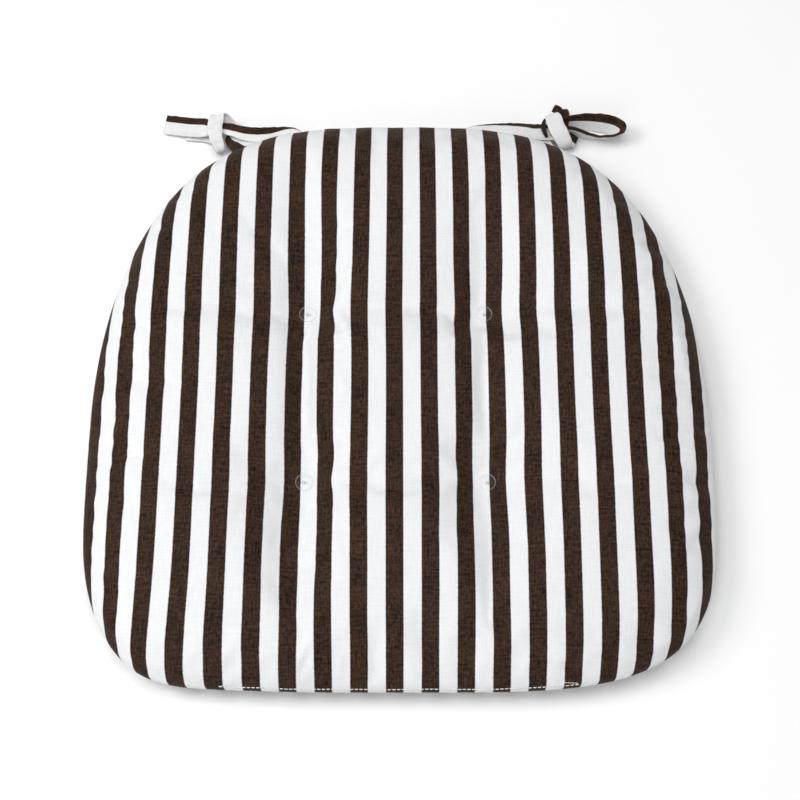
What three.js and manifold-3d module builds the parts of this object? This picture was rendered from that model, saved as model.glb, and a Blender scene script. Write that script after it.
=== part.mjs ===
// Striped chair seat pad with four tufts and a pair of tie tapes at each rear corner. Millimetres.
// The origin is on the floor under the middle of the pad: +Y points to the rear edge with the ties,
// +X to the right when seen from the front edge, +Z up. The pad lies flat with its ties on the floor.
import * as THREE from "three";
import { mergeVertices } from "three/addons/utils/BufferGeometryUtils.js";
import Module from "manifold-3d";

const wasm = await Module();
wasm.setup();

// ---- Driving dimensions ----
const HALF_WIDTH = 215; // seam line, half of the pad's width
const OUTLINE_CENTRE_Y = -41; // the widest line across the pad
const REACH_BACK = 251; // from the widest line to the rear edge
const REACH_FRONT = 169; // from the widest line to the front edge
const ROUND_BACK = [3.2, 2.2]; // superellipse exponents across and along: a flat rear, sloping shoulders
const ROUND_FRONT = [4.1, 4.1]; // a squarer front

const SEAM_Z = 18; // height of the seam round the knife edge
const TOP_Z = 44; // crown of the upper face
const TOP_RUN = 100; // the upper face levels out this far in from the seam
const BOTTOM_RUN = 45; // and the lower face this far in
const TOP_FULLNESS = 2.3; // how square the edge's roll is: 2 is a quarter ellipse
const BOTTOM_FULLNESS = 2;

const CLOTH = 1.2; // cover cloth as a solid wall
const GAP = 0.3; // between faces that touch on the real pad
const LAYER_GAP = 0.4; // between the cover, the wadding and the foam
const ALLOWANCE = 8; // seam allowance turned inward
const THROAT_HALF = 4; // the allowances open to the filling this far above and below the seam
const FILL_INSET = CLOTH + LAYER_GAP; // outside of the wadding, in from the cover's outside
const FOAM_INSET = 9; // outside of the foam core

const TUFT_PITCH = 124; // tufts stand on a square
const TUFT_CENTRE = [-3, -8];
const TUFT_FLOOR = 30; // cover height under a tuft's upper disc
const TUFT_REACH = 44; // radius of the dimple
const UNDER_FLOOR = 7; // the dimple in the underside
const UNDER_REACH = 27;
const DISC_RADIUS = 5.8;
const DISC_SEAT = 7.2; // flat bottom of a dimple
const HOLE_RADIUS = 1.4; // thread hole through cover and filling

const TAPE = 16; // width of the tie tape
const TAPE_THICK = 2; // folded and stitched, four layers of cloth
const STITCH_HALF = 118; // closing stitch along the front edge, half its length
const STITCH_Z = SEAM_Z + 2.2;

const SEGMENTS = 48; // sides round the outline
const TUFT_SIDES = 12; // sides round a dimple or a disc
const THREAD_SIDES = 8; // sides round a tuft's thread and its hole
const ABOVE = TOP_Z + 20; // heights that clear the whole pad, for cutting
const BELOW = -10;

// ---- The outline: two half superellipses that share their widest line ----
// A point of the outline, or of one that lies an inset inside it. The turn goes once round the pad.
function outlinePoint(turn, inset) {
  const [side, depth] = [Math.cos(turn), Math.sin(turn)];
  const [across, along] = depth >= 0 ? ROUND_BACK : ROUND_FRONT;
  const reach = depth >= 0 ? REACH_BACK : REACH_FRONT;
  return [
    Math.sign(side) * Math.abs(side) ** (2 / across) * (HALF_WIDTH - inset),
    Math.sign(depth) * Math.abs(depth) ** (2 / along) * (reach - inset) + OUTLINE_CENTRE_Y,
  ];
}

// A round profile swept along the outline. Each profile point is [distance in from the seam line, z],
// and a distance of Infinity is the middle of the pad.
function alongOutline(profile) {
  const points = profile.map(([inset, z]) =>
    new THREE.Vector2(inset === Infinity ? 0 : HALF_WIDTH - inset, z));
  const geometry = new THREE.LatheGeometry(points, SEGMENTS).rotateX(Math.PI / 2);
  const at = geometry.attributes.position;
  for (let i = 0; i < at.count; i++) {
    const radius = Math.hypot(at.getX(i), at.getY(i));
    const turn = Math.atan2(at.getY(i), at.getX(i));
    at.setXY(i, ...(radius < 1 ? [0, OUTLINE_CENTRE_Y] : outlinePoint(turn, HALF_WIDTH - radius)));
  }
  return solid(geometry);
}

// ---- Solids ----
function solid(geometry) {
  const plain = geometry.clone();
  plain.deleteAttribute("normal");
  plain.deleteAttribute("uv");
  const merged = mergeVertices(plain, 1e-4);
  return new wasm.Manifold(new wasm.Mesh({
    numProp: 3,
    vertProperties: new Float32Array(merged.attributes.position.array),
    triVerts: new Uint32Array(merged.index.array),
  }));
}

function geometryOf(body) {
  const { vertProperties, triVerts } = body.getMesh();
  const geometry = new THREE.BufferGeometry();
  geometry.setAttribute("position", new THREE.BufferAttribute(new Float32Array(vertProperties), 3));
  geometry.setIndex(new THREE.BufferAttribute(new Uint32Array(triVerts), 1));
  geometry.computeVertexNormals();
  return geometry;
}

// Everything between two heights.
function slab(low, high) {
  const reach = 600;
  return solid(new THREE.BoxGeometry(reach, reach, high - low).translate(0, 0, (low + high) / 2));
}

// A turned solid at a tuft: profile points are [radius, z], from the bottom up.
function turned(profile, [x, y], segments) {
  const points = profile.map(([radius, z]) => new THREE.Vector2(radius, z));
  return solid(new THREE.LatheGeometry(points, segments).rotateX(Math.PI / 2).translate(x, y, 0));
}

// ---- Tufts ----
const tufts = ["front_left", "front_right", "rear_left", "rear_right"].map((name, i) => ({
  name,
  at: [
    TUFT_CENTRE[0] + (i % 2 ? 0.5 : -0.5) * TUFT_PITCH,
    TUFT_CENTRE[1] + (i < 2 ? -0.5 : 0.5) * TUFT_PITCH,
  ],
}));

// The dimple above a tuft and the one below it, as solids to take away. An inset makes the dimple
// of a layer that lies that far inside the cover.
const DIMPLE_STEPS = [0, 0.3, 0.6, 1];
const ease = (t) => (1 - Math.cos(Math.PI * t)) / 2;

function dimpleAbove(at, inset) {
  const wall = DIMPLE_STEPS.map((t) => [
    DISC_SEAT + t * (TUFT_REACH - DISC_SEAT) + inset,
    TUFT_FLOOR + ease(t) * (TOP_Z - TUFT_FLOOR) - inset,
  ]);
  const floor = TUFT_FLOOR - inset;
  return turned([[0, floor], ...wall, [TUFT_REACH + inset, ABOVE], [0, ABOVE]], at, TUFT_SIDES);
}

function dimpleBelow(at, inset) {
  const wall = DIMPLE_STEPS.map((t) => [
    UNDER_REACH - t * (UNDER_REACH - DISC_SEAT) + inset,
    ease(t) * UNDER_FLOOR + inset,
  ]);
  const floor = UNDER_FLOOR + inset;
  return turned([[0, BELOW], [UNDER_REACH + inset, BELOW], ...wall, [0, floor]], at, TUFT_SIDES);
}

// ---- The stuffed shape, or any layer that lies an inset inside it ----
const roll = (distance, run, fullness) =>
  (1 - (1 - Math.min(distance / run, 1)) ** fullness) ** (1 / fullness);
const TOP_RINGS = [6, 20, 48, TOP_RUN];
const BOTTOM_RINGS = [BOTTOM_RUN, 20, 6];

function padBody(inset) {
  const rise = TOP_Z - inset - SEAM_Z;
  const drop = SEAM_Z - inset;
  return alongOutline([
    [Infinity, inset],
    ...BOTTOM_RINGS.map((d) => [d + inset, SEAM_Z - drop * roll(d, BOTTOM_RUN, BOTTOM_FULLNESS)]),
    [inset, SEAM_Z],
    ...TOP_RINGS.map((d) => [d + inset, SEAM_Z + rise * roll(d, TOP_RUN, TOP_FULLNESS)]),
    [Infinity, TOP_Z - inset],
  ]);
}

function layer(inset) {
  let body = padBody(inset);
  for (const { at } of tufts)
    body = body.subtract(dimpleAbove(at, inset)).subtract(dimpleBelow(at, inset));
  return body;
}

function pierced(body) {
  for (const { at } of tufts)
    body = body.subtract(
      turned([[0, BELOW], [HOLE_RADIUS, BELOW], [HOLE_RADIUS, ABOVE], [0, ABOVE]], at, THREAD_SIDES));
  return body;
}

// ---- Cover: two shells whose allowances are turned inward and sewn together ----
const SEWN_IN = 3.5; // the seam thread, in from the knife edge
const THREAD_RADIUS = 0.5;
const GROOVE_RADIUS = THREAD_RADIUS + GAP;
const ring = (radius, sides) => Array.from({ length: sides + 1 }, (_, i) => {
  const turn = (i / sides) * 2 * Math.PI;
  return [SEWN_IN - radius * Math.cos(turn), SEAM_Z + radius * Math.sin(turn)];
});

const throat = alongOutline([
  [Infinity, SEAM_Z - THROAT_HALF], [ALLOWANCE, SEAM_Z - THROAT_HALF],
  [ALLOWANCE, SEAM_Z + THROAT_HALF], [Infinity, SEAM_Z + THROAT_HALF],
]);
const groove = alongOutline(ring(GROOVE_RADIUS, 6));
const outside = layer(0);
const inside = layer(CLOTH);
const upper = SEAM_Z + GAP / 2;
const lower = SEAM_Z - GAP / 2;

const coverTop = pierced(outside.intersect(slab(upper, ABOVE))
  .subtract(inside.intersect(slab(upper + CLOTH, ABOVE)).add(throat))
  .subtract(groove));
const coverBottom = pierced(outside.intersect(slab(BELOW, lower))
  .subtract(inside.intersect(slab(BELOW, lower - CLOTH)).add(throat))
  .subtract(groove));
const seamThread = alongOutline(ring(THREAD_RADIUS, 5));

// ---- Filling: a foam core between two sheets of wadding ----
const fill = layer(FILL_INSET);
const core = layer(FOAM_INSET);
const coreRoom = layer(FOAM_INSET - LAYER_GAP);
const waddingTop = pierced(fill.intersect(slab(upper + CLOTH + LAYER_GAP, ABOVE)).subtract(coreRoom));
const waddingBottom = pierced(fill.intersect(slab(BELOW, lower - CLOTH - LAYER_GAP)).subtract(coreRoom));

// ---- Tuft discs and threads ----
const WEB = 1.2; // thickness of a disc inside its raised rim
const RIM = 1.8;
const EYE = 1.3; // thread hole in a disc

// A disc's ring section, closed on itself, with its rim raised away from the cloth it presses on.
function disc(at, seat, away) {
  const section = [[EYE, 0], [DISC_RADIUS, 0], [DISC_RADIUS, RIM], [DISC_RADIUS - 1, RIM],
    [DISC_RADIUS - 1.4, WEB], [EYE, WEB]];
  const closed = [...section, section[0]].map(([radius, h]) => [radius, seat + away * h]);
  return turned(away > 0 ? closed : closed.reverse(), at, TUFT_SIDES);
}

// A thread with a flat knot over each disc.
function tuftThread(at) {
  const shank = 0.6;
  const knot = 2.2;
  const low = UNDER_FLOOR - 2 * GAP - WEB;
  const high = TUFT_FLOOR + 2 * GAP + WEB;
  const thick = 1;
  return turned([[0, low - thick], [knot, low - thick], [knot, low], [shank, low],
    [shank, high], [knot, high], [knot, high + thick], [0, high + thick]], at, THREAD_SIDES);
}

// ---- Closing stitch: the turning gap in the front edge, sewn shut from outside ----
function closingStitch() {
  const proud = 0.75;
  const radius = 0.35;
  const steps = 24;
  const points = Array.from({ length: steps + 1 }, (_, i) => {
    const x = STITCH_HALF * (2 * i / steps - 1);
    const [across, along] = ROUND_FRONT;
    const reach = REACH_FRONT * (1 - Math.abs(x / HALF_WIDTH) ** across) ** (1 / along);
    return new THREE.Vector3(x, OUTLINE_CENTRE_Y - reach - proud, STITCH_Z);
  });
  const section = new THREE.Shape().absarc(0, 0, radius, 0, 2 * Math.PI);
  return solid(new THREE.ExtrudeGeometry(section, {
    extrudePath: new THREE.CatmullRomCurve3(points), steps, curveSegments: 3, bevelEnabled: false,
  }));
}

// ---- Tie tapes ----
// A flat tape through stations [x, y, z, width direction x, y, z, width].
function tape(stations, steps = 2) {
  const centres = new THREE.CatmullRomCurve3(
    stations.map(([x, y, z]) => new THREE.Vector3(x, y, z)), false, "centripetal");
  const last = (stations.length - 1) * steps;
  const corners = [];
  for (let i = 0; i <= last; i++) {
    const t = i / last;
    const from = Math.min(Math.floor(i / steps), stations.length - 2);
    const part = i / steps - from;
    const mix = (k) => THREE.MathUtils.lerp(stations[from][k], stations[from + 1][k], part);
    const along = centres.getTangent(t);
    const across = new THREE.Vector3(mix(3), mix(4), mix(5)).projectOnPlane(along).normalize();
    const facing = new THREE.Vector3().crossVectors(across, along);
    for (const [u, v] of [[-1, -1], [1, -1], [1, 1], [-1, 1]])
      corners.push(...centres.getPoint(t)
        .addScaledVector(across, (u * mix(6)) / 2)
        .addScaledVector(facing, (v * TAPE_THICK) / 2)
        .toArray());
  }
  const faces = [0, 1, 2, 0, 2, 3];
  for (let i = 0; i < last; i++)
    for (let k = 0; k < 4; k++) {
      const a = 4 * i + k;
      const b = 4 * i + ((k + 1) % 4);
      faces.push(a, a + 4, b + 4, a, b + 4, b);
    }
  const end = 4 * last;
  faces.push(end, end + 2, end + 1, end, end + 3, end + 2);
  const geometry = new THREE.BufferGeometry();
  geometry.setAttribute("position", new THREE.Float32BufferAttribute(corners, 3));
  geometry.setIndex(faces);
  return solid(geometry);
}

const ROOT_CLEAR = 1.2; // the tapes stop this far outside the knife edge
const padRoom = padBody(-ROOT_CLEAR);
const sewnTape = (stations) => tape(stations).subtract(padRoom);

// Left pair: the inner tape runs straight through the hitch that the outer tape makes round it.
const leftInner = [
  [-64, 195, 18, 0.3, 0.95, 0, TAPE],
  [-82, 203.6, 17.9, 0.05, 1, 0.05, TAPE],
  [-96, 204.4, 18, 0.05, 0.98, 0.15, 14],
  [-106, 205.4, 17.8, 0.1, 0.98, 0.12, 12],
  [-115, 207.8, 15.6, 0.15, 0.97, 0.15, 11],
  [-123, 212, 12.6, 0.3, 0.93, 0.1, 10],
  [-132, 215.6, 10.4, 0.15, 0.99, 0, 9],
  [-139, 216.4, 9, 0.1, 0.99, 0, 13],
  [-145.8, 217.2, 8, 0.1, 0.99, 0, TAPE],
];
const leftTail = [
  [-148.2, 217.5, 7.6, 0.1, 0.99, 0, TAPE],
  [-156, 218.8, 5.8, 0.1, 0.99, 0, TAPE],
  [-166, 220.8, 4.2, 0.05, 1, 0, TAPE],
  [-177, 222.8, 3.4, 0, 1, 0, TAPE],
];
const leftOuter = [
  [-109, 190, 17.4, 0.85, 0.5, 0, TAPE],
  [-114, 198.5, 12.8, 0.83, 0.55, 0, TAPE],
  [-118.5, 205.5, 7.4, 0.85, 0.5, 0, TAPE],
  [-122.5, 213, 4.2, 0.95, 0.3, 0, TAPE],
  [-125, 221, 3.6, 1, 0, 0, TAPE],
  [-128, 227.5, 5, 1, 0.2, 0, 15],
  [-132, 229.6, 9.6, 0.95, 0.3, 0, 13],
  [-136, 226.5, 13.2, 0.97, 0.2, 0, 12],
  [-138, 219.5, 13.6, 1, 0.1, 0, 12],
  [-138, 211, 13.4, 1, 0, 0, 12],
  [-137, 202.5, 11.6, 1, 0, 0, 12],
  [-136.5, 197.5, 8, 1, 0, 0, 12],
  [-139, 198, 4.6, 0.85, 0, 0.3, 11],
  [-146, 204, 2.8, 0.6, 0.8, 0, 12],
  [-157, 210.8, 1.6, 0.35, 0.93, 0, 13],
];

// Right pair: a half bow. The outer tape's hitch also holds a loop and a short end of itself.
const rightInner = [
  [38, 198, 18, 0.08, 0.99, 0, TAPE],
  [57, 205.5, 17.8, 0.06, 0.99, -0.1, TAPE],
  [74, 211, 16.2, 0, 0.95, -0.3, TAPE],
  [90, 213, 15.3, -0.05, 0.93, -0.35, TAPE],
  [102, 213.5, 13, -0.08, 0.97, -0.2, 15],
  [112, 212.5, 10.6, 0.05, 1, 0, 13],
  [122, 210.5, 8, 0.2, 0.98, 0, 11],
  [132, 206.5, 4, 0.35, 0.93, 0, 10],
];
const rightOuter = [
  [108, 188, 17.8, 0.91, -0.4, 0, TAPE],
  [105, 201, 15.6, 0.93, -0.36, 0, TAPE],
  [104, 206.5, 8.2, 0.96, -0.2, 0, TAPE],
  [104, 213, 3.8, 1, 0, 0, 15],
  [105, 221.5, 3.8, 1, 0.1, 0, 13],
  [107, 228.5, 7.4, 0.96, 0.2, 0, 12],
  [110.5, 228.8, 12.6, 0.9, 0.35, 0, 12],
  [113.5, 222, 15.4, 0.88, 0.47, 0, 12.5],
  [117, 212.5, 15.2, 0.86, 0.5, 0, 13],
  [121.8, 203.5, 12.8, 0.87, 0.48, 0, 12.5],
  [124.5, 197, 7, 0.9, 0.4, 0, 12],
  [124.5, 198, 1.6, 0.9, 0.4, 0, 12],
];
const rightLoop = [
  [129, 222.8, 8.4, 0, 0.15, 0.99, 13],
  [137, 222, 8.4, 0, 0.3, 0.95, 15],
  [149, 220.8, 8.4, 0.1, 0.45, 0.89, TAPE],
  [160, 219, 8.4, 0.3, 0.4, 0.87, TAPE],
  [165.5, 214.8, 8.4, 0.5, 0, 0.87, TAPE],
  [160, 209.8, 8.4, 0.3, -0.4, 0.87, TAPE],
  [149, 208.8, 8.4, 0.05, -0.4, 0.92, TAPE],
  [138, 211.4, 8.4, 0, -0.2, 0.98, 15],
  [130.5, 214.6, 8.4, 0, -0.1, 0.99, 13],
];
const rightEnd = [
  [121.5, 219.5, 7.4, 0.96, -0.2, 0.2, 7.5],
  [121.3, 225, 8.8, 0.96, 0.1, 0.25, 7.5],
  [120.4, 229.5, 9.6, 0.93, 0.3, 0.25, 7.5],
  [118.8, 233.2, 9.4, 0.88, 0.45, 0.2, 7.5],
];

// ---- Materials ----
const cloth = (color) => new THREE.MeshStandardMaterial({ color, roughness: 0.95, metalness: 0 });
const stripedCotton = cloth(0x8f857c);
const underCotton = cloth(0x877d74);
const tapeCotton = cloth(0xd8d5d0);
const wadding = cloth(0xf4f4f2);
const foam = new THREE.MeshStandardMaterial({ color: 0xe8e0b8, roughness: 0.9, metalness: 0 });
const thread = new THREE.MeshStandardMaterial({ color: 0xf0ede4, roughness: 0.7, metalness: 0 });
const clear = new THREE.MeshStandardMaterial({
  color: 0xdfe6ea, roughness: 0.15, metalness: 0, transparent: true, opacity: 0.5,
});

// ---- Assembly ----
const seatPad = new THREE.Group();
const leftTie = new THREE.Group();
const rightTie = new THREE.Group();

function add(parent, name, body, material) {
  const mesh = new THREE.Mesh(geometryOf(body), material);
  mesh.name = name;
  parent.add(mesh);
}

add(seatPad, "cover_top", coverTop, stripedCotton);
add(seatPad, "cover_bottom", coverBottom, underCotton);
add(seatPad, "seam_thread", seamThread, thread);
add(seatPad, "wadding_top", waddingTop, wadding);
add(seatPad, "wadding_bottom", waddingBottom, wadding);
add(seatPad, "foam_core", pierced(core), foam);
add(seatPad, "closing_stitch", closingStitch(), thread);
for (const { name, at } of tufts) {
  add(seatPad, "tuft_disc_top_" + name, disc(at, TUFT_FLOOR + GAP, 1), clear);
  add(seatPad, "tuft_disc_under_" + name, disc(at, UNDER_FLOOR - GAP, -1), clear);
  add(seatPad, "tuft_thread_" + name, tuftThread(at), thread);
}
add(leftTie, "tie_left_inner", sewnTape(leftInner), tapeCotton);
add(leftTie, "tie_left_tail", tape(leftTail), tapeCotton);
add(leftTie, "tie_left_outer", sewnTape(leftOuter), tapeCotton);
add(rightTie, "tie_right_inner", sewnTape(rightInner), tapeCotton);
add(rightTie, "tie_right_outer", sewnTape(rightOuter), tapeCotton);
add(rightTie, "tie_right_loop", tape(rightLoop), tapeCotton);
add(rightTie, "tie_right_end", tape(rightEnd), tapeCotton);
seatPad.add(leftTie, rightTie);

export default seatPad;
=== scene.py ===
# Striped cotton chair seat pad with four tufts and a knotted pair of tie tapes at each rear corner.
# Metres, in the CAD frame: +X to the right, +Y to the rear edge with the ties, +Z up, floor at z = 0.
import bpy
import math
import numpy as np
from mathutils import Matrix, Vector
from mathutils.bvhtree import BVHTree
from mathutils.geometry import delaunay_2d_cdt


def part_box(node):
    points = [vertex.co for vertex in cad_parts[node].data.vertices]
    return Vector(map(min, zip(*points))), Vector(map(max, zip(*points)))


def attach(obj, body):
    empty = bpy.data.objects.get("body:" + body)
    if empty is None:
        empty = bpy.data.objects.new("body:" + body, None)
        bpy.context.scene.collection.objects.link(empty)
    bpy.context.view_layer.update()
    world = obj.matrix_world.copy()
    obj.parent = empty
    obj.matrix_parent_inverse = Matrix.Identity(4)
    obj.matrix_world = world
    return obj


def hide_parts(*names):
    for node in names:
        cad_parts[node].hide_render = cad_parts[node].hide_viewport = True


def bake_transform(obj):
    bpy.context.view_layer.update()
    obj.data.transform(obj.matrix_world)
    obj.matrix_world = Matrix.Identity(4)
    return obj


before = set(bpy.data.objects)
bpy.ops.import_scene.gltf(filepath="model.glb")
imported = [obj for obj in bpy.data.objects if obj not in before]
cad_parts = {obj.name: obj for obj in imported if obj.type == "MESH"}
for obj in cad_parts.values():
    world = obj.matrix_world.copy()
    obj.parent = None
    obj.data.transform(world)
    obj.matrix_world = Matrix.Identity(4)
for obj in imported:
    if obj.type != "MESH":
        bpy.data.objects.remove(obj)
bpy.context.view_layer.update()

MM = 0.001
SEED = 41

# ---- The pad's own sizes, from the CAD frame ----
cover_low, cover_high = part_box("cover_top")
HALF_WIDTH = cover_high[0]
CENTRE_Y = -41 * MM  # the widest line across the pad
REACH_BACK = cover_high[1] - CENTRE_Y
REACH_FRONT = CENTRE_Y - cover_low[1]
ROUND_BACK = (3.2, 2.2)  # superellipse exponents across and along
ROUND_FRONT = (4.1, 4.1)
SEAM_Z = 18 * MM
CROWN_Z = cover_high[2]
CROWN_SHORT = 1.5 * MM  # the crown starts this far below the CAD's, and the simulation swells it
UNDER_CLEAR = 0.8 * MM  # the under panel starts this far above the floor
TOP_RUN = 100 * MM  # how far in from the seam each panel goes on rising
BOTTOM_RUN = 45 * MM
TOP_FULLNESS = 2.3  # 1 is a straight slope, 2 a quarter circle, more is fuller still
BOTTOM_FULLNESS = 2.0
TUFT_NAMES = ("front_left", "front_right", "rear_left", "rear_right")


def middle(node):
    low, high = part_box(node)
    return [(a + b) / 2 for a, b in zip(low, high)]


TUFTS = {name: middle("tuft_disc_top_" + name)[:2] for name in TUFT_NAMES}
DISC_TOP_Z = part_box("tuft_disc_top_front_left")[0][2]
DISC_UNDER_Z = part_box("tuft_disc_under_front_left")[1][2]
DISC_RADIUS = 5.8 * MM
DISC_SEAT = 7.2 * MM  # radius of the flat place under each disc
DISC_GAP = 0.3 * MM

# ---- Camera: above the front edge, looking down and back at the pad ----
CAMERA_TILT = 21  # degrees from straight down
CAMERA_PLACE = (0, -0.4155, 1.086)
LENS_LENGTH, SENSOR_WIDTH = 73.9, 36  # in mm, as Blender's camera takes them
camera_data = bpy.data.cameras.new("camera")
camera_data.lens = LENS_LENGTH
camera_data.sensor_width = SENSOR_WIDTH
camera = bpy.data.objects.new("camera", camera_data)
camera.location = CAMERA_PLACE
camera.rotation_euler = (math.radians(CAMERA_TILT), 0, 0)
bpy.context.scene.collection.objects.link(camera)
bpy.context.scene.camera = camera


# ---- Shared helpers ----
def mesh_piece(name, points, faces, materials, corner_uv=None, face_slots=None):
    """A new smooth-shaded piece.

    corner_uv has a (u, v) for each point, and face_slots each face's number in the materials.
    """
    mesh = bpy.data.meshes.new(name)
    mesh.from_pydata([tuple(map(float, p)) for p in points], [], [list(map(int, f)) for f in faces])
    for material in materials:
        mesh.materials.append(material)
    if corner_uv is not None:
        layer = mesh.uv_layers.new(name="Cloth")
        order = np.zeros(len(mesh.loops), dtype=np.int32)
        mesh.loops.foreach_get("vertex_index", order)
        layer.data.foreach_set("uv", np.asarray(corner_uv, dtype=np.float32)[order].ravel())
    if face_slots is not None:
        mesh.polygons.foreach_set("material_index", np.asarray(face_slots, dtype=np.int32))
    mesh.polygons.foreach_set("use_smooth", [True] * len(mesh.polygons))
    mesh.update()
    piece = bpy.data.objects.new(name, mesh)
    bpy.context.scene.collection.objects.link(piece)
    return piece


def ring_faces(rings, sides):
    """The faces between successive rings of points, each ring closed on itself."""
    faces = []
    for ring in range(rings - 1):
        for k in range(sides):
            a, b = ring * sides + k, ring * sides + (k + 1) % sides
            faces.append([a, b, b + sides, a + sides])
    return faces


def end_faces(rings, sides):
    """The two faces that close the first ring and the last."""
    last = (rings - 1) * sides
    return [list(range(sides))[::-1], [last + k for k in range(sides)]]


def unit(v):
    return v / np.maximum(np.linalg.norm(v, axis=-1, keepdims=True), 1e-12)


def ripple(position, length, seed, waves=5):
    """Smooth noise of about -1 to 1 along a line, its waves about one length long."""
    draw = np.random.default_rng(seed)
    total = np.zeros_like(position, dtype=float)
    for stretch in draw.uniform(0.55, 1.9, waves):
        total += np.sin(2 * math.pi * (position / (length * stretch) + draw.uniform(0, 1)))
    return total / waves ** 0.5 / 1.4


# ---- Materials ----
def new_material(name):
    material = bpy.data.materials.new(name)
    material.use_nodes = True
    tree = material.node_tree
    return material, tree, tree.nodes["Principled BSDF"]


def math_node(tree, operation, a, b=None, c=None, clamp=False):
    node = tree.nodes.new("ShaderNodeMath")
    node.operation = operation
    node.use_clamp = clamp
    for socket, value in zip(node.inputs, (a, b, c)):
        if isinstance(value, (int, float)):
            socket.default_value = value
        elif value is not None:
            tree.links.new(value, socket)
    return node.outputs[0]


def noise(tree, vector, scale, detail, stretch=None):
    """Noise from 0 to 1. stretch says how often it changes along each axis, for a scale of 1."""
    node = tree.nodes.new("ShaderNodeTexNoise")
    node.inputs["Scale"].default_value = scale
    node.inputs["Detail"].default_value = detail
    if stretch is not None:
        mapping = tree.nodes.new("ShaderNodeMapping")
        mapping.inputs["Scale"].default_value = stretch
        tree.links.new(vector, mapping.inputs["Vector"])
        vector = mapping.outputs[0]
    tree.links.new(vector, node.inputs["Vector"])
    return node.outputs["Fac"]


def cloth_place(tree):
    """The cloth's own flat coordinates in metres: along the weft, along the warp."""
    uv = tree.nodes.new("ShaderNodeUVMap")
    uv.uv_map = "Cloth"
    split = tree.nodes.new("ShaderNodeSeparateXYZ")
    tree.links.new(uv.outputs[0], split.inputs[0])
    return uv.outputs[0], split.outputs[0], split.outputs[1]


def mix_colour(tree, share, a, b, blend="MIX"):
    node = tree.nodes.new("ShaderNodeMix")
    node.data_type = "RGBA"
    node.blend_type = blend
    for socket_name, value in (("Factor", share), ("A", a), ("B", b)):
        socket = node.inputs[socket_name]
        if isinstance(value, tuple):
            socket.default_value = (*value, 1)
        elif isinstance(value, (int, float)):
            socket.default_value = value
        else:
            tree.links.new(value, socket)
    return node.outputs["Result"]


def grey(tree, value):
    node = tree.nodes.new("ShaderNodeCombineColor")
    for socket in node.inputs:
        tree.links.new(value, socket)
    return node.outputs[0]


def bump(tree, shader, height, strength, distance):
    node = tree.nodes.new("ShaderNodeBump")
    node.inputs["Strength"].default_value = strength
    node.inputs["Distance"].default_value = distance
    tree.links.new(height, node.inputs["Height"])
    tree.links.new(node.outputs[0], shader.inputs["Normal"])


def band(tree, across, centre, half, soft):
    """1 inside a band round centre and 0 outside it, with soft edges."""
    off = math_node(tree, "ABSOLUTE", math_node(tree, "SUBTRACT", across, centre))
    edge = math_node(tree, "SUBTRACT", half, off)
    return math_node(tree, "MULTIPLY_ADD", edge, 0.5 / soft, 0.5, clamp=True)


THREAD_PITCH = 0.56 * MM
WHITE = (0.800, 0.815, 0.830)
BROWN_DARK = (0.005, 0.0027, 0.0018)
BROWN_LIGHT = (0.072, 0.0335, 0.018)
STREAKS = (1000, 70, 1)  # the yarns' unevenness, in changes per metre along the weft and the warp
SLUBS = (90, 850, 1)
FLECKS = (620, 420, 1)
PATCHES = 45


def woven(tree, place, across, along, white, brown_share):
    """Yarn-dyed plain weave: the colour, and the height of its threads."""
    warp = math_node(tree, "SINE", math_node(tree, "MULTIPLY", across, 2 * math.pi / THREAD_PITCH))
    weft = math_node(tree, "SINE", math_node(tree, "MULTIPLY", along, 2 * math.pi / THREAD_PITCH))
    crossing = math_node(tree, "MULTIPLY", warp, weft)
    streaks = noise(tree, place, 1, 3, STREAKS)
    slubs = noise(tree, place, 1, 3, SLUBS)
    flecks = noise(tree, place, 1, 2, FLECKS)
    patches = noise(tree, place, PATCHES, 3)
    shade = math_node(tree, "MULTIPLY_ADD", streaks, 0.16, 0.84)
    shade = math_node(tree, "MULTIPLY_ADD", slubs, 0.14, shade)
    shade = math_node(tree, "MULTIPLY_ADD", crossing, 0.02, shade)
    white_yarn = mix_colour(tree, 1.0, white, grey(tree, shade), "MULTIPLY")
    wear = math_node(tree, "ADD", streaks, slubs)
    wear = math_node(tree, "ADD", wear, math_node(tree, "MULTIPLY", flecks, 1.3))
    wear = math_node(tree, "MULTIPLY_ADD", patches, 0.5, wear)
    wear = math_node(tree, "MULTIPLY_ADD", wear, 1.15, -1.77, clamp=True)
    brown_yarn = mix_colour(tree, wear, BROWN_DARK, BROWN_LIGHT)
    colour = mix_colour(tree, brown_share, white_yarn, brown_yarn)
    height = math_node(tree, "MULTIPLY_ADD", crossing, 0.5, math_node(tree, "MULTIPLY", streaks, 1.6))
    return colour, math_node(tree, "MULTIPLY_ADD", slubs, 1.6, height)


def cotton(shader):
    """Matt cotton with a faint sheen."""
    shader.inputs["Roughness"].default_value = 0.66
    shader.inputs["Specular IOR Level"].default_value = 0.13
    shader.inputs["Sheen Weight"].default_value = 0.04
    shader.inputs["Sheen Roughness"].default_value = 0.5
    shader.inputs["Sheen Tint"].default_value = (0.9, 0.75, 0.65, 1)


STRIPE_PITCH = 23.2 * MM
STRIPE_BROWN = 11.5 * MM
STRIPE_CENTRE = -3.4 * MM  # the middle of the brown stripe nearest the middle of the pad
STRIPE_WOBBLE = 0.25 * MM
STRIPE_SOFT = 0.3 * MM


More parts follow.
